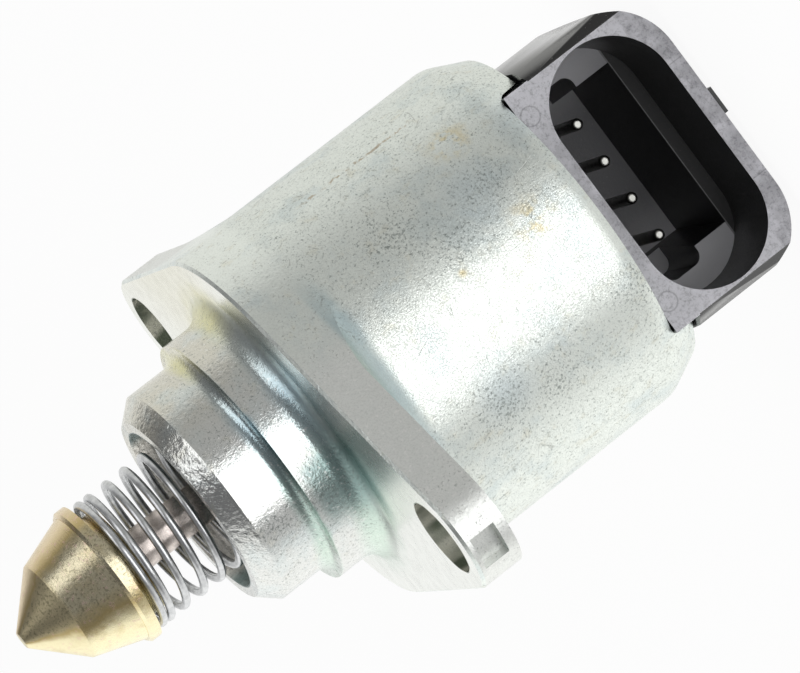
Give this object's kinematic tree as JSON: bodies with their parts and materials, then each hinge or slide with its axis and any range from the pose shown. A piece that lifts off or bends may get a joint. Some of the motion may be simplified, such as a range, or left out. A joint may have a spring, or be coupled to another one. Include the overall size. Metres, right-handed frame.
{
  "type": "idle air control valve",
  "caption": "Idle air control valve: plated round body with an eared mounting flange, a sprung gold valve cone on a lead screw shaft, and a side-facing connector socket.",
  "frame": {"origin": "middle of the flange's mounting face, on the valve axis", "axes": "+Z along the valve axis to the tip of the valve cone; the connector socket opens to -Y"},
  "size_m": [0.033, 0.0544, 0.0688],
  "materials": {
    "zinc_plate": "bright zinc plating, scratched and slightly iridescent",
    "gold_chromate": "yellow chromate passivation",
    "shaft_steel": "dark ground steel",
    "spring_steel": "drawn spring wire",
    "black_plastic": "black glass-filled moulding",
    "guide_plastic": "natural acetal",
    "bearing_steel": "ground bearing steel",
    "cage_brass": "pressed brass",
    "rotor_plastic": "moulded rotor hub",
    "nut_brass": "turned brass",
    "magnet_ferrite": "sintered ferrite",
    "pole_steel": "stamped soft iron",
    "bobbin_plastic": "natural nylon",
    "coil_copper": "enamelled copper wire",
    "bush_bronze": "sintered bronze",
    "seal_rubber": "nitrile rubber",
    "terminal_tin": "tinned brass pin"
  },
  "bodies": {
    "valve_body": {"housing": "zinc_plate", "return_spring": "spring_steel", "end_cap": "black_plastic", "terminal_1": "terminal_tin", "terminal_2": "terminal_tin", "terminal_3": "terminal_tin", "terminal_4": "terminal_tin", "guide_bush": "guide_plastic", "bearing_outer_race": "bearing_steel", "front_pole_cup": "pole_steel", "front_pole_plate": "pole_steel", "rear_pole_plate": "pole_steel", "rear_pole_cup": "pole_steel", "front_bobbin": "bobbin_plastic", "front_coil": "coil_copper", "rear_bobbin": "bobbin_plastic", "rear_coil": "coil_copper", "rear_bush": "bush_bronze", "preload_washer": "spring_steel", "cap_seal": "seal_rubber"},
    "rotor": {"rotor_hub": "rotor_plastic", "rotor_nut": "nut_brass", "rotor_magnet": "magnet_ferrite", "bearing_inner_race": "bearing_steel"},
    "bearing_set": {"bearing_balls": "bearing_steel", "bearing_cage": "cage_brass"},
    "pintle_set": {"pintle": "gold_chromate", "pintle_shaft": "shaft_steel"}
  },
  "joints": [
    {"name": "rotor_spin", "type": "hinge", "parent": "valve_body", "child": "rotor", "pos_m": [0, 0, 0], "axis": [0, 0, 1], "range_deg": [-900, 1980]},
    {"name": "cage_spin", "type": "hinge", "parent": "valve_body", "child": "bearing_set", "pos_m": [0, 0, 0], "axis": [0, 0, 1], "range_deg": [-364.5, 801.5]},
    {"name": "pintle_slide", "type": "slide", "parent": "valve_body", "child": "pintle_set", "axis": [0, 0, 1], "range_m": [-0.00551, 0.00251], "deforming": ["return_spring"]}
  ],
  "couplings": [
    {"joint": "pintle_slide", "follows": "rotor_spin", "m_per_rad": -0.00015915},
    {"joint": "cage_spin", "follows": "rotor_spin", "ratio": 0.40417}
  ]
}
